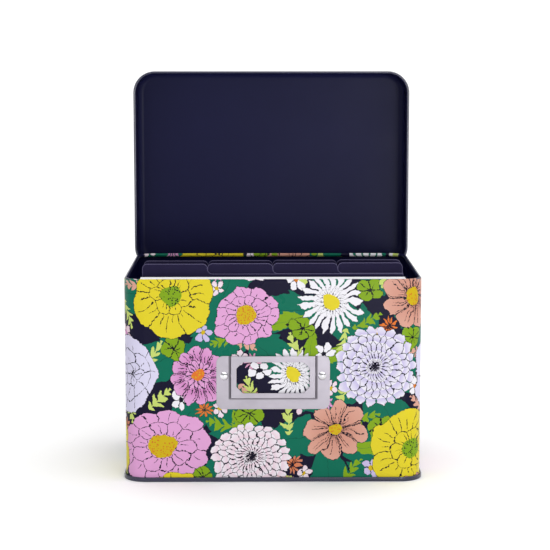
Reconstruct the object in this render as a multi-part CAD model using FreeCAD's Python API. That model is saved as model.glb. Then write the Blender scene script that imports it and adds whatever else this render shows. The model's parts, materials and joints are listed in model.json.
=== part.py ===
import FreeCAD, Part
import os
from FreeCAD import Vector

# Hinged tinplate index-card box with its card stack and tabbed dividers.
# Millimetres, +Z up. X runs across the front, -Y is the front, the origin is the
# centre of the underside. The lid stands open at 90 degrees, which is its rest pose.

# body
BODY_WIDTH = 171.0
BODY_DEPTH = 122.0
BODY_HEIGHT = 117.8
CORNER_RADIUS = 12.0
SHEET = 0.3
RIM_CURL_RADIUS = 0.95      # mean radius of the rolled-in rim
SEAM_HEIGHT = 2.6
PANEL_TOP = 3.0             # upper face of the recessed base panel
LAP_WIDTH = 4.5             # inner lap of the vertical side seam

# lid
LID_CLEARANCE = 0.2         # skirt inside face to body outside face
LID_CURL_RADIUS = 0.6
LID_SHOULDER_RADIUS = 3.85
LID_DEPTH = 22.05

# hinge
HINGE_X = 46.0
HINGE_WIDTH = 24.0
HINGE_Y = BODY_DEPTH / 2 + 1.85
HINGE_Z = 107.5
LEAF = 0.5
PIN_RADIUS = 0.8
PIN_CLEARANCE = 0.06
KNUCKLE_RADIUS = 1.32
LID_KNUCKLE = 7.8           # length of the middle knuckle
KNUCKLE_GAP = 0.1
LID_BOTTOM = HINGE_Z - LID_CURL_RADIUS - SHEET / 2
RIVET_X = 7.5               # hinge rivets either side of the leaf centre
BODY_RIVET_Z = 99.3
LID_RIVET_Z = 120.4
OPEN_ANGLE = 90.0

# label holder on the front
HOLDER_Z = 58.1
HOLDER_WIDTH = 65.0
HOLDER_HEIGHT = 30.9
HOLDER_SHEET = 0.4
HOLDER_RADIUS = 3.9
POCKET_WIDTH = 49.3
POCKET_HEIGHT = 24.9
POCKET_RAISE = 1.0
WINDOW_WIDTH = 42.0
WINDOW_HEIGHT = 18.0
WINDOW_CHAMFER = 3.6
WINDOW_Z = HOLDER_Z + 3.0
LABEL_RIVET_X = 28.1
LABEL_RIVET_Z = HOLDER_Z + 3.8

# paper contents
PAPER_WIDTH = 152.4
PAPER_BOTTOM = PANEL_TOP + 0.05
CARD_TOP = BODY_HEIGHT - 0.3
CARD_COUNT = 16
CARD_THICKNESS = 0.35
CARD_PITCH = 0.6
CARD_FRONT_Y = -58.3
DIVIDER_WIDTH = 151.0
DIVIDER_THICKNESS = 0.5
DIVIDER_TOP = BODY_HEIGHT + 0.8
TAB_TOP = BODY_HEIGHT + 6.6
TAB_COUNT = 4
DIVIDER_PITCH = 1.6
DIVIDER_SETS_Y = (-43.5, -29.3)

X_AXIS = Vector(1, 0, 0)
Y_AXIS = Vector(0, 1, 0)
Z_AXIS = Vector(0, 0, 1)
FRONT_Y = -BODY_DEPTH / 2
BACK_Y = BODY_DEPTH / 2


def heading(angle):
    """Unit vector in the XZ plane at an angle above +X."""
    return FreeCAD.Rotation(Y_AXIS, -angle).multVec(X_AXIS)


def bent_sheet(start, angle, moves, thickness=SHEET):
    """Face in the XZ plane of a sheet that follows straight and curved moves.

    A move is ("line", length) or ("turn", mean radius, degrees), positive turning left.
    """
    point = Vector(start[0], 0, start[1])
    half = thickness / 2
    left, right = [], []
    first = None
    for move in moves:
        side = heading(angle + 90)
        if first is None:
            first = (point + side * half, point - side * half)
        if move[0] == "line":
            end = point + heading(angle) * move[1]
            left.append(Part.LineSegment(point + side * half, end + side * half))
            right.append(Part.LineSegment(point - side * half, end - side * half))
            point = end
            continue
        radius, turn = move[1], move[2]
        sign = 1 if turn > 0 else -1
        centre = point + side * (radius * sign)
        for edges, offset in ((left, half), (right, -half)):
            reach = radius - sign * offset
            spokes = [centre - heading(angle + 90 + turn * f) * (reach * sign) for f in (0, 0.5, 1)]
            edges.append(Part.Arc(*spokes))
        angle += turn
        point = centre - heading(angle + 90) * (radius * sign)
    side = heading(angle + 90)
    caps = [
        Part.LineSegment(point + side * half, point - side * half),
        Part.LineSegment(first[1], first[0]),
    ]
    edges = [curve.toShape() for curve in left + [caps[0]] + right[::-1] + [caps[1]]]
    return Part.Face(Part.Wire(Part.__sortEdges__(edges)))


def around_box(profile):
    """Sweeps a profile round the body's rounded outline; profile x = 0 is the body's outer face."""
    half_w = BODY_WIDTH / 2 - CORNER_RADIUS
    half_d = BODY_DEPTH / 2 - CORNER_RADIUS
    section = profile.translated(Vector(CORNER_RADIUS, 0, 0))
    corners = ((half_w, half_d), (-half_w, half_d), (-half_w, -half_d), (half_w, -half_d))
    lengths = (2 * half_w, 2 * half_d, 2 * half_w, 2 * half_d)
    pieces = []
    for i, (x, y) in enumerate(corners):
        bend = section.revolve(Vector(), Z_AXIS, 90)
        bend.rotate(Vector(), Z_AXIS, 90 * i)
        bend.translate(Vector(x, y, 0))
        run = section.extrude(Y_AXIS * lengths[i])
        run.rotate(Vector(), Z_AXIS, 90 * (i + 1))
        run.translate(Vector(x, y, 0))
        pieces += [bend, run]
    return pieces[0].multiFuse(pieces[1:]).removeSplitter()


def rounded_block(width, depth, height, radius):
    """Block with rounded vertical corners, centred on the Z axis and standing on Z = 0."""
    block = Part.makeBox(width, depth, height, Vector(-width / 2, -depth / 2, 0))
    edges = [e for e in block.Edges if abs(e.tangentAt(e.FirstParameter).z) > 0.9]
    return block.makeFillet(radius, edges)


def box_between(low, high):
    return Part.makeBox(high[0] - low[0], high[1] - low[1], high[2] - low[2], Vector(*low))


def rod_x(radius, x0, x1, y, z):
    return Part.makeCylinder(radius, x1 - x0, Vector(x0, y, z), X_AXIS)


def rod_y(radius, y0, y1, x, z):
    return Part.makeCylinder(radius, y1 - y0, Vector(x, y0, z), Y_AXIS)


def opened(shape):
    """Turns a shape modelled on the closed lid into the open pose."""
    shape = shape.copy()
    shape.rotate(Vector(0, HINGE_Y, HINGE_Z), X_AXIS, -OPEN_ANGLE)
    return shape


def rivet(x, z, wall_out, wall_in, shank, head, dome, clinch):
    """Domed rivet along Y; wall_out is the face under the head, wall_in the face it is clinched on."""
    outward = 1 if wall_out > wall_in else -1
    reach = (head * head + dome * dome) / (2 * dome)
    centre = Vector(x, wall_out + outward * (dome - reach), z)
    cap = Part.makeSphere(reach, centre)
    lip_low, lip_high = sorted((wall_out, wall_out + outward * dome * 1.01))
    cap = cap.common(rod_y(head, lip_low, lip_high, x, z))
    stem = rod_y(shank, min(wall_out, wall_in), max(wall_out, wall_in), x, z)
    foot_low, foot_high = sorted((wall_in, wall_in - outward * 0.45))
    foot = rod_y(clinch, foot_low, foot_high, x, z)
    rims = [e for e in foot.Edges if len(e.Vertexes) == 1]
    rims = [e for e in rims if abs(e.CenterOfMass.y - (wall_in - outward * 0.45)) < 0.01]
    return cap.fuse([stem, foot.makeFillet(0.2, rims)]).removeSplitter()


def body_shell():
    """Side wall with its rolled-in rim, the hook of the base seam and the lapped back seam."""
    profile = bent_sheet(
        (0.59, 2.0),
        -90,
        [
            ("line", 1.12),
            ("turn", 0.37, -180),
            ("line", BODY_HEIGHT - SHEET / 2 - RIM_CURL_RADIUS - 0.88),
            ("turn", RIM_CURL_RADIUS, 290),
        ],
    )
    shell = around_box(profile)
    inner = BACK_Y - SHEET
    lap_top = BODY_HEIGHT - 2 * RIM_CURL_RADIUS - 1.0
    lap = box_between(
        (-LAP_WIDTH / 2, inner - SHEET, PANEL_TOP + 0.6), (LAP_WIDTH / 2, inner, lap_top)
    )
    groove = box_between(
        (LAP_WIDTH / 2 - 0.3, BACK_Y - 0.12, SEAM_HEIGHT), (LAP_WIDTH / 2, BACK_Y + 1, lap_top)
    )
    holes = [rod_y(0.8, inner - 1, BACK_Y + 1, x, BODY_RIVET_Z) for x in hinge_rivet_x()]
    holes += [rod_y(1.2, FRONT_Y - 1, FRONT_Y + 1, s * LABEL_RIVET_X, LABEL_RIVET_Z) for s in (-1, 1)]
    return shell.fuse(lap).cut([groove] + holes)


def base_pan():
    """Recessed base panel whose edge is hooked over the body in a double seam."""
    profile = bent_sheet(
        (0.21, 0.95),
        90,
        [
            ("line", 1.09),
            ("turn", 0.41, -180),
            ("line", 1.44),
            ("turn", 0.45, -90),
            ("line", 0.63),
            ("turn", 0.45, -90),
            ("line", PANEL_TOP - SHEET / 2 - 1.2),
            ("turn", 0.6, 90),
            ("line", 2.0),
        ],
    )
    inset = 3.1
    panel = rounded_block(
        BODY_WIDTH - 2 * inset, BODY_DEPTH - 2 * inset, SHEET, CORNER_RADIUS - inset
    )
    panel.translate(Vector(0, 0, PANEL_TOP - SHEET))
    return around_box(profile).fuse(panel).removeSplitter()


def lid_shell():
    """Shallow lid pan with a rounded shoulder and an outward curl, notched at the hinges."""
    inset = 6.0
    top = LID_BOTTOM + LID_DEPTH - SHEET / 2
    skirt_u = LID_CLEARANCE + SHEET / 2
    curl_z = LID_BOTTOM + LID_CURL_RADIUS + SHEET / 2
    profile = bent_sheet(
        (-inset, top),
        0,
        [
            ("line", inset + skirt_u - LID_SHOULDER_RADIUS),
            ("turn", LID_SHOULDER_RADIUS, -90),
            ("line", top - LID_SHOULDER_RADIUS - curl_z),
            ("turn", LID_CURL_RADIUS, 290),
        ],
    )
    panel = rounded_block(
        BODY_WIDTH - 2 * inset, BODY_DEPTH - 2 * inset, SHEET, CORNER_RADIUS - inset
    )
    panel.translate(Vector(0, 0, top - SHEET / 2))
    lid = around_box(profile).fuse(panel).removeSplitter()
    half = HINGE_WIDTH / 2 + 1.4
    cuts = [
        box_between(
            (s * HINGE_X - half, BACK_Y - 0.5, LID_BOTTOM - 1),
            (s * HINGE_X + half, BACK_Y + 4, HINGE_Z + 1.9),
        )
        for s in (-1, 1)
    ]
    skirt_in = BACK_Y + LID_CLEARANCE
    cuts += [rod_y(0.8, skirt_in - 1, skirt_in + 1, x, LID_RIVET_Z) for x in hinge_rivet_x()]
    return opened(lid.cut(cuts))


def hinge_rivet_x():
    return [s * HINGE_X + r * RIVET_X for s in (-1, 1) for r in (-1, 1)]


def leaf_plate(x, y0, y1, z0, z1):
    """Flat hinge leaf with two rounded outer corners, its rounded end away from the axis."""
    plate = box_between((x - HINGE_WIDTH / 2, y0, z0), (x + HINGE_WIDTH / 2, y1, z1))
    far_z = z0 if z1 < HINGE_Z + 1 else z1
    corners = [
        e for e in plate.Edges
        if abs(e.tangentAt(e.FirstParameter).y) > 0.9 and abs(e.CenterOfMass.z - far_z) < 0.01
    ]
    return plate.makeFillet(3.0, corners)


def body_leaf(x):
    """Leaf on the back wall with two outer knuckles that grip the pin."""
    wall = BACK_Y
    tangent = HINGE_Y - KNUCKLE_RADIUS
    leaf = leaf_plate(x, wall, wall + LEAF, HINGE_Z - 13.0, HINGE_Z - 0.6)
    parts, tools = [], []
    half_mid = LID_KNUCKLE / 2 + KNUCKLE_GAP
    for x0, x1 in ((x - HINGE_WIDTH / 2, x - half_mid), (x + half_mid, x + HINGE_WIDTH / 2)):
        tube = rod_x(KNUCKLE_RADIUS, x0, x1, HINGE_Y, HINGE_Z)
        strip = box_between((x0, tangent, HINGE_Z - 2.4), (x1, tangent + LEAF, HINGE_Z))
        joggle = box_between((x0, wall, HINGE_Z - 2.6), (x1, tangent + LEAF, HINGE_Z - 1.7))
        parts += [tube, strip, joggle]
        tools.append(rod_x(PIN_RADIUS, x0 - 1, x1 + 1, HINGE_Y, HINGE_Z))
    for r in (-1, 1):
        tools.append(rod_y(0.8, wall - 1, wall + 2, x + r * RIVET_X, BODY_RIVET_Z))
    return leaf.fuse(parts).cut(tools).removeSplitter()


def lid_leaf(x):
    """Leaf on the lid's skirt with the middle knuckle and the heel that stops the lid at 90 degrees."""
    face = BACK_Y + LID_CLEARANCE + SHEET
    bore = PIN_RADIUS + PIN_CLEARANCE
    half_mid = LID_KNUCKLE / 2
    leaf = leaf_plate(x, face, face + LEAF, HINGE_Z + 2.1, HINGE_Z + 15.6)
    tube = rod_x(KNUCKLE_RADIUS, x - half_mid, x + half_mid, HINGE_Y, HINGE_Z)
    strip = box_between((x - half_mid, face, HINGE_Z), (x + half_mid, face + LEAF, HINGE_Z + 3.0))
    heel_top = HINGE_Z - KNUCKLE_RADIUS + LEAF
    heel = box_between(
        (x - half_mid, HINGE_Y, HINGE_Z - KNUCKLE_RADIUS), (x + half_mid, HINGE_Y + 3.6, heel_top)
    )
    tools = [rod_x(bore, x - half_mid - 1, x + half_mid + 1, HINGE_Y, HINGE_Z)]
    for r in (-1, 1):
        tools.append(rod_y(0.8, face - 1, face + 2, x + r * RIVET_X, LID_RIVET_Z))
    return opened(leaf.fuse([tube, strip, heel]).cut(tools).removeSplitter())


def hinge_pin(x):
    """Wire pin with its two ends peened wider than the knuckles' bore."""
    half = HINGE_WIDTH / 2 + 0.05
    pin = rod_x(PIN_RADIUS, x - half, x + half, HINGE_Y, HINGE_Z)
    heads = []
    for x0, x1 in ((x - half - 0.6, x - half), (x + half, x + half + 0.6)):
        head = rod_x(1.15, x0, x1, HINGE_Y, HINGE_Z)
        outer = x0 if x1 < x else x1
        rims = [e for e in head.Edges if len(e.Vertexes) == 1 and abs(e.CenterOfMass.x - outer) < 0.01]
        heads.append(head.makeFillet(0.3, rims))
    return pin.fuse(heads).removeSplitter()


def pocket_block(half_width, bottom, slope, y_wall, y_face):
    """Block with sloping sides and bottom that tapers towards its front face."""
    top = HOLDER_Z + HOLDER_HEIGHT / 2 + 2
    rings = []
    for y, inset in ((y_wall, 0.0), (y_face, slope)):
        w, b = half_width - inset, bottom + inset
        points = [Vector(-w, y, top), Vector(-w, y, b), Vector(w, y, b), Vector(w, y, top)]
        rings.append(Part.makePolygon(points + [points[0]]))
    return Part.makeLoft(rings, True, True)


def label_holder():
    """Stamped frame: a flat plate with a raised pocket, open at the top, round a window."""
    face = FRONT_Y - HOLDER_SHEET
    plate = rounded_block(HOLDER_WIDTH, HOLDER_HEIGHT, HOLDER_SHEET, HOLDER_RADIUS)
    plate.rotate(Vector(), X_AXIS, 90)
    plate.translate(Vector(0, FRONT_Y, HOLDER_Z))
    half = POCKET_WIDTH / 2
    bottom = HOLDER_Z + HOLDER_HEIGHT / 2 - POCKET_HEIGHT
    outer = pocket_block(half, bottom, 0.6, face, face - POCKET_RAISE)
    inner = pocket_block(
        half - 0.35, bottom + 0.35, 0.6 * (POCKET_RAISE + HOLDER_SHEET) / POCKET_RAISE,
        FRONT_Y + 0.001, face - POCKET_RAISE + HOLDER_SHEET,
    )
    trim = box_between(
        (-HOLDER_WIDTH, FRONT_Y - 5, HOLDER_Z + HOLDER_HEIGHT / 2),
        (HOLDER_WIDTH, FRONT_Y + 1, HOLDER_Z + HOLDER_HEIGHT),
    )
    window = box_between(
        (-WINDOW_WIDTH / 2, FRONT_Y - 5, WINDOW_Z - WINDOW_HEIGHT / 2),
        (WINDOW_WIDTH / 2, FRONT_Y + 1, WINDOW_Z + WINDOW_HEIGHT / 2),
    )
    corners = [e for e in window.Edges if abs(e.tangentAt(e.FirstParameter).y) > 0.9]
    window = window.makeChamfer(WINDOW_CHAMFER, corners)
    corners = [e for e in window.Edges if abs(e.tangentAt(e.FirstParameter).y) > 0.9]
    window = window.makeFillet(1.0, corners)
    holes = [rod_y(1.2, FRONT_Y - 3, FRONT_Y + 1, s * LABEL_RIVET_X, LABEL_RIVET_Z) for s in (-1, 1)]
    return plate.fuse(outer).cut([inner, trim, window] + holes).removeSplitter()


def label_rivets():
    """The two bright dome rivets that hold the label frame."""
    out = FRONT_Y - HOLDER_SHEET
    inner = FRONT_Y + SHEET
    return [
        rivet(s * LABEL_RIVET_X, LABEL_RIVET_Z, out, inner, 1.2, 2.4, 1.1, 2.0) for s in (-1, 1)
    ]


def body_hinge_rivets():
    out, inner = BACK_Y + LEAF, BACK_Y - SHEET
    return [rivet(x, BODY_RIVET_Z, out, inner, 0.8, 1.6, 0.7, 1.3) for x in hinge_rivet_x()]


def lid_hinge_rivets():
    inner = BACK_Y + LID_CLEARANCE
    out = inner + SHEET + LEAF
    made = [rivet(x, LID_RIVET_Z, out, inner, 0.8, 1.6, 0.7, 1.3) for x in hinge_rivet_x()]
    return [opened(shape) for shape in made]


def paper_sheet(y, thickness, top, radius):
    """Upright sheet with its two upper corners rounded."""
    sheet = box_between(
        (-PAPER_WIDTH / 2, y, PAPER_BOTTOM), (PAPER_WIDTH / 2, y + thickness, top)
    )
    corners = [
        e for e in sheet.Edges
        if abs(e.tangentAt(e.FirstParameter).y) > 0.9 and abs(e.CenterOfMass.z - top) < 0.01
    ]
    return sheet.makeFillet(radius, corners)


def index_cards():
    """The stack of white cards as separate thin solids."""
    return [
        paper_sheet(CARD_FRONT_Y + i * CARD_PITCH, CARD_THICKNESS, CARD_TOP, 0.6)
        for i in range(CARD_COUNT)
    ]


def divider(index):
    """Divider card with a quarter-width tab, rounded at its top and blended into the card."""
    half = DIVIDER_WIDTH / 2
    tab_width = DIVIDER_WIDTH / TAB_COUNT
    y = DIVIDER_SETS_Y[index // TAB_COUNT] + (index % TAB_COUNT) * DIVIDER_PITCH
    x0 = -half + (index % TAB_COUNT) * tab_width
    card = box_between(
        (-half, y, PAPER_BOTTOM), (half, y + DIVIDER_THICKNESS, DIVIDER_TOP)
    )
    tab = box_between(
        (x0, y, DIVIDER_TOP - 1), (x0 + tab_width, y + DIVIDER_THICKNESS, TAB_TOP)
    )
    sheet = card.fuse(tab).removeSplitter()
    tips, roots = [], []
    for edge in sheet.Edges:
        if abs(edge.tangentAt(edge.FirstParameter).y) < 0.9:
            continue
        height = edge.CenterOfMass.z
        if abs(height - TAB_TOP) < 0.01:
            tips.append(edge)
        elif abs(height - DIVIDER_TOP) < 0.01 and abs(edge.CenterOfMass.x) < half - 1:
            roots.append(edge)
    return sheet.makeFillet(2.8, tips + roots)


def save(node, shape):
    if isinstance(shape, list):
        shape = Part.makeCompound(shape)
    solids = shape.Solids
    if not solids or not all(s.isValid() for s in solids):
        raise ValueError(node + " has no valid solid")
    shape = solids[0] if len(solids) == 1 else Part.makeCompound(solids)
    shape.exportStep("parts/" + node + ".step")
    print(node, len(solids), round(sum(s.Volume for s in solids), 2))


os.makedirs("parts", exist_ok=True)
save("body_shell", body_shell())
save("base_pan", base_pan())
save("label_holder", label_holder())
save("label_rivets", label_rivets())
for side, sign in (("left", -1), ("right", 1)):
    save("hinge_body_leaf_" + side, body_leaf(sign * HINGE_X))
    save("hinge_lid_leaf_" + side, lid_leaf(sign * HINGE_X))
    save("hinge_pin_" + side, hinge_pin(sign * HINGE_X))
save("hinge_rivets_body", body_hinge_rivets())
save("hinge_rivets_lid", lid_hinge_rivets())
save("lid_shell", lid_shell())
save("index_cards", index_cards())
for number in range(2 * TAB_COUNT):
    save("divider_" + str(number + 1), divider(number))
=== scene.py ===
"""Looks of the hinged tin card box: floral print, navy lacquer, label frame and paper cards."""
import json
import math

import bpy
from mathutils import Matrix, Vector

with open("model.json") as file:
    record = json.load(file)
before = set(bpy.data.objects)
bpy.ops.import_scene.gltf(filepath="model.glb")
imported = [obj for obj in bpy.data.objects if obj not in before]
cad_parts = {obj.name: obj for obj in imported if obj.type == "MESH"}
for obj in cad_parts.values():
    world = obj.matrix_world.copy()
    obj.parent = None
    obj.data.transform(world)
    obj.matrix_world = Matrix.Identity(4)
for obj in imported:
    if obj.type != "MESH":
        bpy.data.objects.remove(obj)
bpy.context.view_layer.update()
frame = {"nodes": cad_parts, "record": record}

# ---------------------------------------------------------------- sizes, in mm
MM = 0.001
BODY_W, BODY_D, BODY_H = 171.0, 122.0, 117.8
CORNER_R = 12.0
FLAT_X, FLAT_Y = BODY_W / 2 - CORNER_R, BODY_D / 2 - CORNER_R
RIM_START = BODY_H - 2.25
HINGE_Y, HINGE_Z = 62.85, 107.5
LID_TOP = 128.8
LID_SHOULDER = 3.85
LID_SKIRT_MID = 0.35
LID_CURL_TOP = 108.4
POCKET_HALF = 49.3 / 2
POCKET_FOOT = 58.1 + 30.9 / 2 - 24.9
PERIMETER = 4 * (FLAT_X + FLAT_Y) + 2 * math.pi * CORNER_R
TILE_W = PERIMETER / 3
TILE_H = 124.0
SKIN = 0.15         # how far behind the outer face a point still counts as outside
VARNISH_BUMP_MM = 0.012
LACQUER_BUMP_MM = 0.01
PAPER_BUMP_MM = 0.02

# the view: lens in mm, place in m, turn in degrees
LENS = 112.6
VIEW_PLACE = (-0.0084, -1.0294, 0.2526)
VIEW_PITCH, VIEW_YAW = 7.78, -0.56


def srgb(r, g, b):
    """Linear colour of an 8-bit display colour."""
    channels = []
    for value in (r, g, b):
        v = value / 255
        channels.append(v / 12.92 if v <= 0.04045 else ((v + 0.055) / 1.055) ** 2.4)
    return (*channels, 1.0)


PRINT_STRENGTH = 0.69


def ink(r, g, b):
    """Linear colour of a printing ink as it lies under the varnish."""
    red, green, blue, alpha = srgb(r, g, b)
    return (PRINT_STRENGTH * red, PRINT_STRENGTH * green, PRINT_STRENGTH * blue, alpha)


NAVY = ink(15, 12, 44)
INK = ink(12, 8, 32)
EMERALD = ink(0, 112, 88)
DEEP_GREEN = ink(0, 88, 70)
LIME = ink(134, 172, 26)
PALE_LIME = ink(204, 222, 118)
YELLOW = ink(232, 214, 44)
GOLD = ink(214, 184, 24)
LAVENDER = ink(226, 222, 248)
LILAC = ink(206, 196, 238)
PINK = ink(232, 170, 220)
ROSE = ink(214, 138, 198)
PEACH = ink(226, 170, 152)
CORAL = ink(206, 140, 120)
ORANGE = ink(232, 122, 46)
OCHRE = ink(216, 126, 36)
BLUSH = ink(244, 216, 230)
WHITE = ink(247, 245, 252)


class Graph:
    """Short names for building a node tree from sockets and plain values."""

    def __init__(self, tree):
        self.tree = tree

    def node(self, kind, inputs, output=0, **settings):
        made = self.tree.nodes.new(kind)
        for key, value in settings.items():
            setattr(made, key, value)
        for key, value in inputs.items():
            socket = made.inputs[key]
            if isinstance(value, bpy.types.NodeSocket):
                self.tree.links.new(value, socket)
            else:
                socket.default_value = value
        return made.outputs[output]

    def math(self, op, a, b=0.0, c=0.0):
        return self.node("ShaderNodeMath", {0: a, 1: b, 2: c}, operation=op)

    def vec(self, op, a, b=(0, 0, 0), c=(0, 0, 0), output="Vector"):
        return self.node("ShaderNodeVectorMath", {0: a, 1: b, 2: c}, output, operation=op)

    def scaled(self, vector, factor):
        return self.node("ShaderNodeVectorMath", {0: vector, "Scale": factor}, operation="SCALE")

    def split(self, vector):
        made = self.tree.nodes.new("ShaderNodeSeparateXYZ")
        self.tree.links.new(vector, made.inputs[0])
        return made.outputs[0], made.outputs[1], made.outputs[2]

    def join(self, x, y, z=0.0):
        return self.node("ShaderNodeCombineXYZ", {0: x, 1: y, 2: z})

    def mix(self, factor, a, b):
        return self.node("ShaderNodeMix", {0: factor, 6: a, 7: b}, 2, data_type="RGBA")

    def blend(self, factor, a, b):
        return self.node("ShaderNodeMix", {0: factor, 2: a, 3: b})

    def range(self, value, low, high, out_low=0.0, out_high=1.0):
        return self.node(
            "ShaderNodeMapRange", {0: value, 1: low, 2: high, 3: out_low, 4: out_high}
        )

    def noise(self, vector, scale, detail=2.0, output="Fac"):
        inputs = {"Vector": vector, "Scale": scale, "Detail": detail}
        return self.node("ShaderNodeTexNoise", inputs, output)

    def place(self):
        """Object coordinates in mm."""
        spot = self.tree.nodes.new("ShaderNodeTexCoord").outputs["Object"]
        return self.vec("MULTIPLY", spot, (1000, 1000, 1000))

    def surface(self, color, roughness, metallic=0.0, bump=None, bump_mm=0.02, **extra):
        inputs = {"Base Color": color, "Roughness": roughness, "Metallic": metallic}
        if bump is not None:
            inputs["Normal"] = self.node(
                "ShaderNodeBump", {"Strength": 1.0, "Distance": bump_mm * MM, "Height": bump}
            )
        inputs.update({key.replace("_", " "): value for key, value in extra.items()})
        shader = self.node("ShaderNodeBsdfPrincipled", inputs)
        out = self.tree.nodes.new("ShaderNodeOutputMaterial")
        self.tree.links.new(shader, out.inputs["Surface"])


def new_material(name):
    material = bpy.data.materials.new(name)
    material.use_nodes = True
    material.node_tree.nodes.clear()
    return material, Graph(material.node_tree)


def new_group(name, sockets, draw):
    """A node group with the inputs named in sockets, whose output is the colour draw returns."""
    tree = bpy.data.node_groups.new(name, "ShaderNodeTree")
    kinds = {"v": "NodeSocketVector", "f": "NodeSocketFloat", "c": "NodeSocketColor"}
    for kind, labels in sockets.items():
        for label in labels.split():
            tree.interface.new_socket(label, in_out="INPUT", socket_type=kinds[kind])
    tree.interface.new_socket("Color", in_out="OUTPUT", socket_type="NodeSocketColor")
    source = tree.nodes.new("NodeGroupInput")
    given = {socket.name: socket for socket in source.outputs if socket.name}
    color = draw(Graph(tree), given)
    sink = tree.nodes.new("NodeGroupOutput")
    tree.links.new(color, sink.inputs["Color"])
    return tree


# ------------------------------------------------------------- the floral print
# Each shape is a node group that lays its own colour over the colour under it. Its place is found
# with vector maths alone, so that the nodes run in the order in which they are made.
WHERE = {"v": "Place Centre Along Across", "f": "Line Dots"}
FAR = 9.0                # mm added to a distance so that no ink line is drawn there
VEIN_UNEVENNESS = 11.3   # makes neighbouring veins end at different lengths
VEIN_THINNER_MM = 0.06


def own_xy(g, i):
    """Coordinates inside one shape, where its outline lies near 1."""
    away = g.vec("SUBTRACT", i["Place"], i["Centre"])
    half = (TILE_W / 2, TILE_H / 2, 1.0)
    away = g.vec("WRAP", away, half, tuple(-v for v in half))
    return (
        g.vec("DOT_PRODUCT", away, i["Along"], output="Value"),
        g.vec("DOT_PRODUCT", away, i["Across"], output="Value"),
    )


def radius_of(g, x, y):
    return g.math("SQRT", g.math("MULTIPLY_ADD", x, x, g.math("MULTIPLY", y, y)))


def draw_bloom(veined, gapped, leaning, dotted):
    """Petals in rings round a core, with thin ink lines between petals."""

    def draw(g, i):
        x, y = own_xy(g, i)
        if leaning:
            rim = g.math("MULTIPLY_ADD", x, x, g.math("MULTIPLY", y, y))
            rim = g.math("SUBTRACT", g.math("MINIMUM", rim, 1.0), 1.0)
            x = g.math("MULTIPLY_ADD", rim, i["LeanX"], x)
            y = g.math("MULTIPLY_ADD", rim, i["LeanY"], y)
        r = radius_of(g, x, y)
        t = g.math("MULTIPLY", r, i["Rings"])
        ring = g.math("FLOOR", t)
        f = g.math("FRACT", t)
        turn = g.math("MULTIPLY", g.math("ARCTAN2", y, x), i["PerTurn"])
        turn = g.math("MULTIPLY_ADD", ring, 0.5, turn)
        side = g.math("MULTIPLY", g.math("PINGPONG", turn, 0.5), 2.0)
        drop = g.math("POWER", side, i["Power"])
        edge = g.math("SUBTRACT", 1.0, g.math("MULTIPLY", drop, i["Tip"]))
        last = g.math("SUBTRACT", i["Rings"], 1.0)
        beyond = g.math("SUBTRACT", t, last)
        shape = g.math("LESS_THAN", beyond, edge)
        if gapped:
            gap = g.math("MULTIPLY", i["Gap"], g.math("MULTIPLY_ADD", f, -0.5, 1.0))
            petal_wide = g.math("LESS_THAN", side, g.math("SUBTRACT", 1.0, gap))
            inner_ring = g.math("LESS_THAN", beyond, 0.03)
            solid = g.math("MAXIMUM", petal_wide, inner_ring)
            shape = g.math("MULTIPLY", shape, solid)
        reach = g.math("MULTIPLY", g.math("SUBTRACT", 1.0, side), g.math("MULTIPLY", r, i["Reach"]))
        reach = g.math("MULTIPLY_ADD", g.math("GREATER_THAN", f, edge), FAR, reach)
        rise = g.math("MULTIPLY", g.math("ABSOLUTE", g.math("SUBTRACT", f, edge)), i["Rise"])
        near = g.math("MINIMUM", reach, rise)
        if veined:
            streaks = g.math("MULTIPLY", turn, i["Veins"])
            streak = g.math("PINGPONG", streaks, 0.5)
            streak = g.math("MULTIPLY", streak, g.math("MULTIPLY", r, i["Spread"]))
            uneven = g.math("SINE", g.math("MULTIPLY", turn, VEIN_UNEVENNESS))
            stop = g.math("MULTIPLY_ADD", uneven, 0.3, 0.55)
            streak = g.math("MULTIPLY_ADD", g.math("GREATER_THAN", f, stop), FAR, streak)
            near = g.math("MINIMUM", near, g.math("ADD", streak, VEIN_THINNER_MM))
        petal = g.mix(f, i["Inner"], i["Outer"])
        petal = g.mix(g.math("LESS_THAN", near, i["Line"]), petal, INK)
        core = i["Core"]
        if dotted:
            core = g.mix(i["Dots"], core, i["Seeds"])
        petal = g.mix(g.math("LESS_THAN", r, i["CoreSize"]), petal, core)
        return g.mix(shape, i["Under"], petal)

    return draw


def draw_leaf(g, i):
    """A pointed leaf with a toothed edge and a fine midrib."""
    x, y = own_xy(g, i)
    across = g.math("ABSOLUTE", y)
    bow = g.math("MAXIMUM", g.math("MULTIPLY_ADD", g.math("MULTIPLY", x, x), -1.0, 1.0), 0.0)
    bow = g.math("MULTIPLY", bow, g.math("MULTIPLY_ADD", x, -0.3, 1.0))
    tooth = g.math("FRACT", g.math("MULTIPLY", x, i["Teeth"]))
    bow = g.math("MULTIPLY", bow, g.math("MULTIPLY_ADD", tooth, -0.26, 1.1))
    shape = g.math("LESS_THAN", across, bow)
    spine = g.math("LESS_THAN", across, g.math("MULTIPLY_ADD", x, -0.012, 0.014))
    return g.mix(shape, i["Under"], g.mix(spine, i["Fill"], i["Vein"]))


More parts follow.
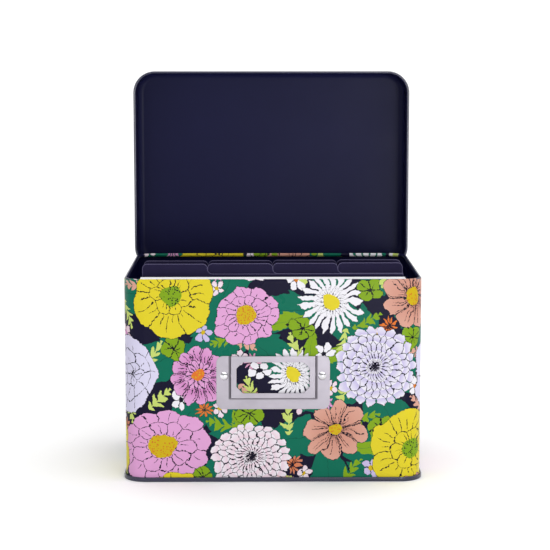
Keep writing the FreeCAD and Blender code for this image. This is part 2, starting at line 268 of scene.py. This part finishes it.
def draw_sprig(g, i):
    """A stem with slanting pairs of small leaves that shorten towards its tip."""
    x, y = own_xy(g, i)
    across = g.math("ABSOLUTE", y)
    taper = g.math("MAXIMUM", g.math("MULTIPLY_ADD", g.math("MULTIPLY", x, x), -0.75, 1.0), 0.05)
    share = g.math("DIVIDE", across, taper)
    slant = g.math("MULTIPLY", across, -0.9)
    row = g.math("PINGPONG", g.math("MULTIPLY_ADD", x, i["Pairs"], slant), 0.5)
    blade = g.math("MULTIPLY_ADD", g.math("MULTIPLY", share, share), -0.4, 0.4)
    shape = g.math("MAXIMUM", g.math("LESS_THAN", row, blade), g.math("LESS_THAN", across, 0.09))
    shape = g.math("MULTIPLY", shape, g.math("LESS_THAN", g.math("ABSOLUTE", x), 1.0))
    return g.mix(shape, i["Under"], i["Fill"])


class Print:
    """Lays shapes over one another on a repeating tile, in mm."""

    def __init__(self, graph, vector):
        self.g = graph
        broad = graph.noise(vector, 0.085, 1.0, "Color")
        fine = graph.noise(vector, 0.55, 1.0, "Color")
        shift = graph.vec("MULTIPLY_ADD", broad, (7.0, 7.0, 0), (-4.25, -4.25, 0))
        shift = graph.vec("MULTIPLY_ADD", fine, (1.5, 1.5, 0), shift)
        place = graph.vec("ADD", vector, shift)
        line = graph.range(graph.noise(vector, 0.9, 1.0), 0.35, 0.62, 0.10, 0.40)
        dots = graph.node(
            "ShaderNodeTexVoronoi", {"Vector": vector, "Scale": 0.8, "Randomness": 0.8}, "Distance"
        )
        self.given = {"Place": place, "Line": line, "Dots": graph.math("LESS_THAN", dots, 0.36)}
        self.color = NAVY
        self.groups = {}

    def lay(self, kind, draw, sockets, x, z, size_x, size_z, angle, values):
        if kind not in self.groups:
            self.groups[kind] = new_group("print_" + kind, sockets, draw)
        turn = math.radians(angle)
        cos, sin = math.cos(turn), math.sin(turn)
        values = {
            **values, "Centre": (x, z, 0), "Along": (cos / size_x, sin / size_x, 0),
            "Across": (-sin / size_z, cos / size_z, 0), "Under": self.color,
        }
        made = self.g.tree.nodes.new("ShaderNodeGroup")
        made.node_tree = self.groups[kind]
        for key, value in {**self.given, **values}.items():
            socket = made.inputs.get(key)
            if socket is None:
                continue
            if isinstance(value, bpy.types.NodeSocket):
                self.g.tree.links.new(value, socket)
            else:
                socket.default_value = value
        self.color = made.outputs["Color"]

    def bloom(self, x, z, size, petals, rings, inner, outer, angle=0, squash=1.0, tip=0.3,
              power=2.0, gap=0.0, core=None, seeds=None, core_size=0.3, veins=0, lean=None):
        flags = (bool(veins), bool(gap), lean is not None, seeds is not None)
        marks = ("_veins", "_gap", "_lean", "_seeds")
        kind = "bloom" + "".join(mark for mark, flag in zip(marks, flags) if flag)
        sockets = {
            "v": WHERE["v"], "c": "Under Inner Outer Core" + (" Seeds" if flags[3] else ""),
            "f": WHERE["f"] + " Rings PerTurn Power Tip Reach Rise CoreSize"
            + (" Veins Spread" if flags[0] else "") + (" Gap" if flags[1] else "")
            + (" LeanX LeanY" if flags[2] else ""),
        }
        lean = lean or (0, 0)
        values = {
            "Inner": inner, "Outer": outer, "Core": core or inner, "Seeds": seeds or inner,
            "CoreSize": core_size if core else 0.0, "Rings": rings,
            "PerTurn": petals / (2 * math.pi), "Power": power, "Tip": tip,
            "Reach": size * math.pi / petals, "Rise": size / rings, "Gap": gap,
            "Veins": veins, "Spread": 2 * size * math.pi / (petals * max(veins, 1)),
            "LeanX": lean[0], "LeanY": lean[1],
        }
        self.lay(kind, draw_bloom(*flags), sockets, x, z, size, size * squash, angle, values)

    def leaf(self, x, z, length, width, angle, color, vein, teeth=2.0):
        sockets = {"v": WHERE["v"], "c": "Under Fill Vein", "f": "Teeth"}
        self.lay("leaf", draw_leaf, sockets, x, z, length, width, angle,
                 {"Fill": color, "Vein": vein, "Teeth": teeth})

    def sprig(self, x, z, length, width, angle, color, pairs=4.0):
        sockets = {"v": WHERE["v"], "c": "Under Fill", "f": "Pairs"}
        self.lay("sprig", draw_sprig, sockets, x, z, length, width, angle,
                 {"Fill": color, "Pairs": pairs / 2})


# Plain garden flowers seen from above.
KINDS = {
    "zinnia": dict(petals=10, rings=3, inner=PINK, outer=PINK, squash=0.82, tip=0.24, veins=2,
                   lean=(0, 0.08), core=GOLD, seeds=OCHRE, core_size=0.3),
    "mum": dict(petals=24, rings=5, inner=BLUSH, outer=WHITE, squash=0.92, tip=0.42, power=1.4,
                gap=0.12),
    "cosmos": dict(petals=8, rings=1, inner=CORAL, outer=PEACH, squash=0.94, tip=0.22, veins=5,
                   core=GOLD, seeds=OCHRE, core_size=0.22),
    "poppy": dict(petals=6, rings=2, inner=YELLOW, outer=YELLOW, squash=0.96, tip=0.18, veins=4,
                  lean=(0, 0.08), core=LIME, seeds=INK, core_size=0.24),
    "peony": dict(petals=5, rings=3, inner=LAVENDER, outer=LAVENDER, squash=0.9, tip=0.18, veins=2,
                  lean=(0.1, -0.3)),
    "daisy": dict(petals=12, rings=2, inner=ROSE, outer=PINK, squash=1.05, tip=0.25, veins=3,
                  core=ORANGE, seeds=GOLD, core_size=0.26),
    "aster": dict(petals=21, rings=2, inner=WHITE, outer=WHITE, tip=0.5, power=1.1, gap=0.36,
                  core=YELLOW, core_size=0.24),
    "dahlia": dict(petals=22, rings=5, inner=LILAC, outer=WHITE, tip=0.5, power=1.3, gap=0.1),
}
# Large blooms on the tile: kind, x, z, size, angle.
BLOOMS = (
    ("aster", 12, 62, 16, 0), ("zinnia", -63, 20, 28, 12), ("cosmos", 36, 30, 19, 40),
    ("mum", -13, 14, 23, 0), ("peony", -87, 62, 23, 75), ("daisy", -43, 62, 16, 20),
    ("dahlia", 59, 67, 24, 0), ("poppy", 80, 18, 25, 8), ("poppy", -57, 107, 24, 50),
    ("aster", 33, 105, 19, 9), ("zinnia", -15, 96, 20, 30), ("cosmos", 81, 108, 20, 70),
)
# Places between the large blooms, for sprigs, buds and small blossoms.
GAPS = (
    (-59, 49), (-35, 38), (-14, 46), (12, 41), (35, 49), (57, 34), (84, 50),
    (-86, 37), (-62, 76), (-34, 84), (-14, 75), (14, 84), (35, 79), (60, 92),
    (83, 79), (-86, 91), (-36, 118), (-35, 2), (9, 121), (12, 4), (59, 116),
    (51, 7), (-84, 117), (-92, 3), (-11, 60),
)
GOLDEN_ANGLE = 137.5
LEAF_SIZES = ((22, 12), (24, 11))   # half length, half width of the leaves under each bloom
SPRIG_COLORS = (PALE_LIME, LIME, PEACH, PALE_LIME)
BLOSSOM_COLORS = ((WHITE, INK), (BLUSH, ROSE), (WHITE, OCHRE), (LILAC, GOLD))
SPIKY_COLORS = ((ORANGE, ORANGE), (ROSE, PINK), (ORANGE, CORAL), (CORAL, PINK))


def offset(reach, angle):
    """The x and z of a step of a given reach and angle on the tile."""
    return reach * math.cos(math.radians(angle)), reach * math.sin(math.radians(angle))


def draw_under(art, index, x, z, size):
    """Two large leaves and a small one under a bloom."""
    for step, (length, width) in enumerate(LEAF_SIZES):
        turn = GOLDEN_ANGLE * (2 * index + step)
        out_x, out_z = offset(size + 5, turn)
        art.leaf(x + out_x, z + out_z, length, width, turn, EMERALD, DEEP_GREEN)
    turn = GOLDEN_ANGLE * index + 60
    out_x, out_z = offset(size + 3, turn)
    art.leaf(x + out_x, z + out_z, 11, 4.5, turn + 25, LIME, DEEP_GREEN)


def draw_gap(art, index, x, z):
    """A sprig with a small blossom, a spiky flower or a bud beside it."""
    turn = GOLDEN_ANGLE * index
    out_x, out_z = offset(6.0, turn)
    art.sprig(x - out_x, z - out_z, 8.5, 4.0, turn + 40, SPRIG_COLORS[index % 4])
    choice = index // 3 % 4
    if index % 3 == 0:
        color, core = BLOSSOM_COLORS[choice]
        art.bloom(x + out_x, z + out_z, 6.2, 5, 1, color, color, turn, tip=0.5, core=core,
                  core_size=0.24)
    elif index % 3 == 1:
        inner, outer = SPIKY_COLORS[choice]
        art.bloom(x + out_x, z + out_z, 5.4, 10, 1, inner, outer, turn, tip=0.62, power=1.2,
                  gap=0.25)
        art.bloom(x + out_z, z - out_x, 4.6, 5, 1, WHITE, BLUSH, turn, tip=0.5, core=GOLD,
                  core_size=0.24)
    else:
        art.bloom(x + out_x, z + out_z, 7.0, 4, 1, LIME, LIME, turn, squash=1.15, tip=0.18,
                  veins=2)


def paint(graph, vector):
    """The print's colour at a place on the tile, whose vector is in mm."""
    art = Print(graph, vector)
    for index, (_, x, z, size, _) in enumerate(BLOOMS):
        draw_under(art, index, x, z, size)
    for index, (x, z) in enumerate(GAPS):
        draw_gap(art, index, x, z)
    for kind, x, z, size, angle in BLOOMS:
        art.bloom(x, z, size, angle=angle, **KINDS[kind])
    return art.color


floral = new_group("print_floral", {"v": "Place"}, lambda g, i: paint(g, i["Place"]))


def printed(graph, vector):
    made = graph.tree.nodes.new("ShaderNodeGroup")
    made.node_tree = floral
    graph.tree.links.new(vector, made.inputs["Place"])
    return made.outputs["Color"]


LACQUER = (srgb(11, 12, 46), srgb(15, 17, 53))
# the lid's lacquer is a lighter copy of the navy lacquer: painted light that brightens the lid's
# inside
LID_LACQUER = (srgb(20, 21, 51), srgb(24, 25, 57))
PRINT_GLOSS, LID_PRINT_GLOSS, LID_INSIDE_GLOSS = 0.1, 0.12, 0.055
RIM_GLOSS, CURL_GLOSS, PAN_GLOSS = 0.6, 0.8, 0.75


def lacquer_color(graph, place, tones=LACQUER):
    """Navy lacquer with a faint cloud of tone."""
    return graph.mix(graph.noise(place, 0.02, 3.0), *tones)


def varnish_bump(graph, place):
    """Orange peel of a stoved varnish, with finer specks."""
    peel = graph.noise(place, 0.35, 2.0)
    speck = graph.noise(place, 2.4, 1.0)
    return graph.math("MULTIPLY_ADD", speck, 0.15, peel)


def around_body(graph, x, y, z):
    """Distance round the body, height, depth into its wall, and whether that is a side wall."""
    flat_x = graph.math("MINIMUM", graph.math("ABSOLUTE", x), FLAT_X)
    flat_y = graph.math("MINIMUM", graph.math("MAXIMUM", y, -FLAT_Y), FLAT_Y)
    out_x = graph.math("SUBTRACT", graph.math("ABSOLUTE", x), flat_x)
    out_y = graph.math("SUBTRACT", y, flat_y)
    turn = graph.math("ARCTAN2", out_x, graph.math("MULTIPLY", out_y, -1.0))
    front = flat_x
    side = graph.math("ADD", flat_y, FLAT_X + FLAT_Y)
    back = graph.math("MULTIPLY_ADD", flat_x, -1.0, 2 * (FLAT_X + FLAT_Y))
    on_side = graph.math("GREATER_THAN", turn, math.radians(45))
    on_back = graph.math("GREATER_THAN", turn, math.radians(135))
    run = graph.blend(on_side, front, side)
    run = graph.blend(on_back, run, back)
    run = graph.math("MULTIPLY_ADD", turn, CORNER_R, run)
    run = graph.math("MULTIPLY", run, graph.math("SIGN", graph.math("ADD", x, 0.0001)))
    depth = graph.vec("LENGTH", graph.join(out_x, out_y), output="Value")
    depth = graph.math("SUBTRACT", depth, CORNER_R)
    height = graph.math("SUBTRACT", z, graph.math("MINIMUM", depth, 0.0))
    beside = graph.math("SUBTRACT", on_side, on_back)
    return run, height, depth, beside


def printed_body():
    material, g = new_material("printed_tin_print")
    place = g.place()
    x, y, z = g.split(place)
    run, height, depth, beside = around_body(g, x, y, z)
    color = printed(g, g.join(run, height))
    outside = g.math("GREATER_THAN", depth, -SKIN)
    above = g.math("GREATER_THAN", z, RIM_START)
    printed_rim = g.math("MULTIPLY", above, g.math("LESS_THAN", beside, 0.5))
    outside = g.math("MAXIMUM", outside, printed_rim)
    color = g.mix(outside, lacquer_color(g, place), color)
    cloud = g.noise(place, 0.05, 3.0)
    rough = g.range(cloud, 0.3, 0.7, 0.26, 0.34)
    side_rim = g.math("MULTIPLY", above, g.math("GREATER_THAN", beside, 0.5))
    g.surface(color, rough, bump=varnish_bump(g, place), bump_mm=VARNISH_BUMP_MM,
              Specular_IOR_Level=g.blend(side_rim, PRINT_GLOSS, RIM_GLOSS))
    return material


def printed_lid():
    material, g = new_material("lid_tin_print")
    place = g.place()
    x, y, z = g.split(place)
    shut_y = g.math("SUBTRACT", HINGE_Y + HINGE_Z, z)
    shut_z = g.math("ADD", y, HINGE_Z - HINGE_Y)
    flat_x = g.math("MINIMUM", g.math("MAXIMUM", x, -FLAT_X), FLAT_X)
    flat_y = g.math("MINIMUM", g.math("MAXIMUM", shut_y, -FLAT_Y), FLAT_Y)
    away = g.join(g.math("SUBTRACT", x, flat_x), g.math("SUBTRACT", shut_y, flat_y))
    reach = g.vec("LENGTH", away, output="Value")
    drop = g.math("SUBTRACT", LID_TOP, shut_z)
    stretch = g.math("DIVIDE", g.math("ADD", reach, drop), g.math("MAXIMUM", reach, 0.01))
    color = printed(g, g.vec("ADD", g.scaled(away, stretch), g.join(flat_x, flat_y)))
    over_side = g.math("SUBTRACT", reach, CORNER_R + LID_SKIRT_MID - LID_SHOULDER)
    over_top = g.math("SUBTRACT", shut_z, LID_TOP - SKIN - LID_SHOULDER)
    over = g.vec("MAXIMUM", g.join(over_side, over_top), (0, 0, 0))
    outside = g.math("GREATER_THAN", g.vec("LENGTH", over, output="Value"), LID_SHOULDER)
    outside = g.math("MULTIPLY", outside, g.math("GREATER_THAN", shut_z, LID_CURL_TOP))
    # the lid's inside takes the lighter copy of the lacquer, which is painted light
    color = g.mix(outside, lacquer_color(g, place, LID_LACQUER), color)
    cloud = g.noise(place, 0.05, 3.0)
    inner_rough = g.range(cloud, 0.3, 0.7, 0.33, 0.37)
    curl = g.math("LESS_THAN", shut_z, LID_CURL_TOP)
    rough = g.blend(g.math("MAXIMUM", outside, curl), inner_rough, 0.27)
    gloss = g.blend(curl, g.blend(outside, LID_INSIDE_GLOSS, LID_PRINT_GLOSS), CURL_GLOSS)
    g.surface(color, rough, bump=varnish_bump(g, place), bump_mm=VARNISH_BUMP_MM,
              Specular_IOR_Level=gloss)
    return material


def navy_lacquer():
    material, g = new_material("navy_lacquer_gloss")
    place = g.place()
    cloud = g.noise(place, 0.05, 3.0)
    g.surface(lacquer_color(g, place), g.range(cloud, 0.3, 0.7, 0.18, 0.28),
              bump=varnish_bump(g, place), bump_mm=LACQUER_BUMP_MM, Specular_IOR_Level=PAN_GLOSS)
    return material


def pocket_step_shade(g, place):
    """Painted shade along the press lines of the label pocket, from 0 to 1."""
    x, _, z = g.split(place)
    beside = g.math("ABSOLUTE", g.math("SUBTRACT", g.math("ABSOLUTE", x), POCKET_HALF + 0.35))
    side = g.range(beside, 0.25, 0.75, 1.0, 0.0)
    side = g.math("MULTIPLY", side, g.range(z, POCKET_FOOT - 0.8, POCKET_FOOT + 0.4))
    below = g.math("ABSOLUTE", g.math("SUBTRACT", z, POCKET_FOOT - 0.3))
    foot = g.range(below, 0.1, 0.6, 0.5, 0.0)
    within = g.range(g.math("ABSOLUTE", x), POCKET_HALF, POCKET_HALF + 0.6, 1.0, 0.0)
    foot = g.math("MULTIPLY", foot, within)
    return g.math("MAXIMUM", side, foot)


def plated(name, tone, rough, grain, streak, bump_mm=0.006, step_shaded=False):
    """Plated or bare steel with a fine directional grain and soft tone variation."""
    material, g = new_material(name)
    place = g.place()
    lines = g.noise(g.vec("MULTIPLY", place, streak), grain, 3.0)
    cloud = g.noise(place, 0.09, 3.0)
    dark = tuple(0.86 * c for c in tone[:3]) + (1.0,)
    color = g.mix(g.range(cloud, 0.3, 0.7), dark, tone)
    color = g.mix(g.range(lines, 0.3, 0.7, 0.0, 0.18), color, dark)
    if step_shaded:
        # painted shade: the plate is darkened along the pocket's press lines, in place of the dark
        # reflections of its steep steps
        color = g.mix(g.math("MULTIPLY", pocket_step_shade(g, place), 0.8), color, srgb(58, 54, 60))
    roughness = g.math("MULTIPLY_ADD", lines, 0.12, rough - 0.06)
    g.surface(color, roughness, 1.0, bump=lines, bump_mm=bump_mm)
    return material


def paper(name, face, shade, edge, specular, edge_highlight_mm=0.0):
    """Card stock: soft fibres on its faces, lighter cut edges and a painted highlight along the
    edges.
    """
    material, g = new_material(name)
    place = g.place()
    fibres = g.noise(g.vec("MULTIPLY", place, (1.0, 1.0, 0.35)), 1.3, 4.0)
    cloud = g.noise(place, 0.06, 2.0)
    tone = g.math("MULTIPLY_ADD", fibres, 0.5, g.math("MULTIPLY", cloud, 0.5))
    color = g.mix(g.range(tone, 0.3, 0.7), shade, face)
    normal = g.tree.nodes.new("ShaderNodeTexCoord").outputs["Normal"]
    _, facing, _ = g.split(normal)
    cut = g.math("LESS_THAN", g.math("ABSOLUTE", facing), 0.6)
    color = g.mix(cut, color, edge)
    # painted highlight: the faces are lightened towards the cut-edge colour close to every edge
    if edge_highlight_mm:
        rounded = g.node("ShaderNodeBevel", {"Radius": edge_highlight_mm * MM}, samples=6)
        flat = g.tree.nodes.new("ShaderNodeNewGeometry").outputs["Normal"]
        edge_highlight = g.range(g.vec("DOT_PRODUCT", rounded, flat, output="Value"), 0.995, 0.93)
        color = g.mix(g.math("MULTIPLY", edge_highlight, 0.85), color, edge)
    g.surface(color, g.range(fibres, 0.3, 0.7, 0.55, 0.75), bump=fibres, bump_mm=PAPER_BUMP_MM,
              Specular_IOR_Level=specular)
    return material


materials = {
    "printed_tin": printed_body(),
    "lid_tin": printed_lid(),
    "navy_lacquer": navy_lacquer(),
    # the label plate gets painted shade along its pocket's press lines
    "label_satin": plated(
        "label_satin_plate", srgb(163, 158, 167), 0.34, 0.9, (0.06, 1.0, 1.0), step_shaded=True
    ),
    "bright_rivet": plated(
        "bright_rivet_polish", srgb(232, 231, 236), 0.09, 1.6, (1.0, 1.0, 1.0), bump_mm=0.002
    ),
    "hinge_steel": plated("hinge_steel_satin", srgb(186, 186, 190), 0.36, 1.1, (0.08, 1.0, 1.0)),
    "pin_steel": plated("pin_steel_wire", srgb(196, 196, 200), 0.28, 1.6, (0.1, 1.0, 1.0)),
    "hinge_rivet": plated("hinge_rivet_steel", srgb(204, 204, 208), 0.24, 1.6, (1.0, 1.0, 1.0)),
    # the white cards' cut edges are lighter than their faces: painted light that offsets the shade
    # in the narrow gaps between the cards
    "card_white": paper(
        "card_white_stock", srgb(229, 227, 233), srgb(214, 212, 221), srgb(250, 250, 253), 0.3
    ),
    # the dividers' cut edges are lighter partly as on a dyed card and partly as a painted highlight
    # along the tab edges
    "divider_card": paper(
        "divider_card_navy", srgb(33, 29, 57), srgb(27, 23, 50), srgb(104, 100, 132), 0.08,
        edge_highlight_mm=0.7,
    ),
}
slot_of = {part["node"]: part["material_slot"] for part in frame["record"]["subparts"]}
for node, piece in frame["nodes"].items():
    for slot in piece.material_slots:
        slot.material = materials[slot_of[node]]


# ------------------------------------------------------------------- the stage
def stage_floor():
    """A flat white floor that rises to a rim far away, like a studio cove on every side."""
    flat, rim, lift, steps, sides = 5.0, 9.0, 2.5, 12, 96
    radii = [flat + (rim - flat) * k / steps for k in range(steps + 1)]
    points = [(0, 0, 0)]
    for radius in radii:
        share = (radius - flat) / (rim - flat)
        height = lift * share * share
        for k in range(sides):
            turn = 2 * math.pi * k / sides
            points.append((radius * math.cos(turn), radius * math.sin(turn), height))
    faces = [(0, 1 + k, 1 + (k + 1) % sides) for k in range(sides)]
    for ring in range(steps):
        low, high = 1 + ring * sides, 1 + (ring + 1) * sides
        for k in range(sides):
            after = (k + 1) % sides
            faces.append((low + k, high + k, high + after, low + after))
    mesh = bpy.data.meshes.new("floor")
    mesh.from_pydata(points, [], faces)
    mesh.polygons.foreach_set("use_smooth", [True] * len(faces))
    floor = bpy.data.objects.new("floor", mesh)
    bpy.context.scene.collection.objects.link(floor)
    material, g = new_material("floor_pale")
    cloud = g.noise(g.place(), 0.002, 2.0)
    g.surface(g.mix(cloud, (0.88, 0.88, 0.88, 1), (0.92, 0.92, 0.92, 1)), 0.8)
    mesh.materials.append(material)


def light(name, kind, energy, location, target, size=1.0, angle=30.0):
    data = bpy.data.lights.new(name, kind)
    data.energy = energy
    if kind == "AREA":
        data.shape = "RECTANGLE"
        data.size, data.size_y = size, size
    else:
        data.angle = math.radians(angle)
    lamp = bpy.data.objects.new(name, data)
    lamp.location = location
    aim = Vector(target) - Vector(location)
    lamp.rotation_euler = aim.to_track_quat("-Z", "Y").to_euler()
    bpy.context.scene.collection.objects.link(lamp)
    return lamp


stage_floor()
light("key_sun", "SUN", 2.7, (0.25, 0.2, 1.5), (0, 0, 0), angle=100)
light("right_panel", "AREA", 9.0, (0.41, -1.35, 0.12), (0, 0.05, 0.15), size=0.4)

world = bpy.data.worlds.new("studio")
bpy.context.scene.world = world
world.use_nodes = True
world.node_tree.nodes["Background"].inputs["Color"].default_value = (1.0, 1.0, 1.0, 1.0)
world.node_tree.nodes["Background"].inputs["Strength"].default_value = 0.40

camera_data = bpy.data.cameras.new("camera")
camera_data.lens = LENS
camera_data.sensor_width = 36.0
camera_data.clip_end = 60.0
camera = bpy.data.objects.new("camera", camera_data)
camera.location = VIEW_PLACE
camera.rotation_euler = (math.radians(90 - VIEW_PITCH), 0, math.radians(VIEW_YAW))
bpy.context.scene.collection.objects.link(camera)
bpy.context.scene.camera = camera
bpy.context.scene.view_settings.view_transform = "Standard"
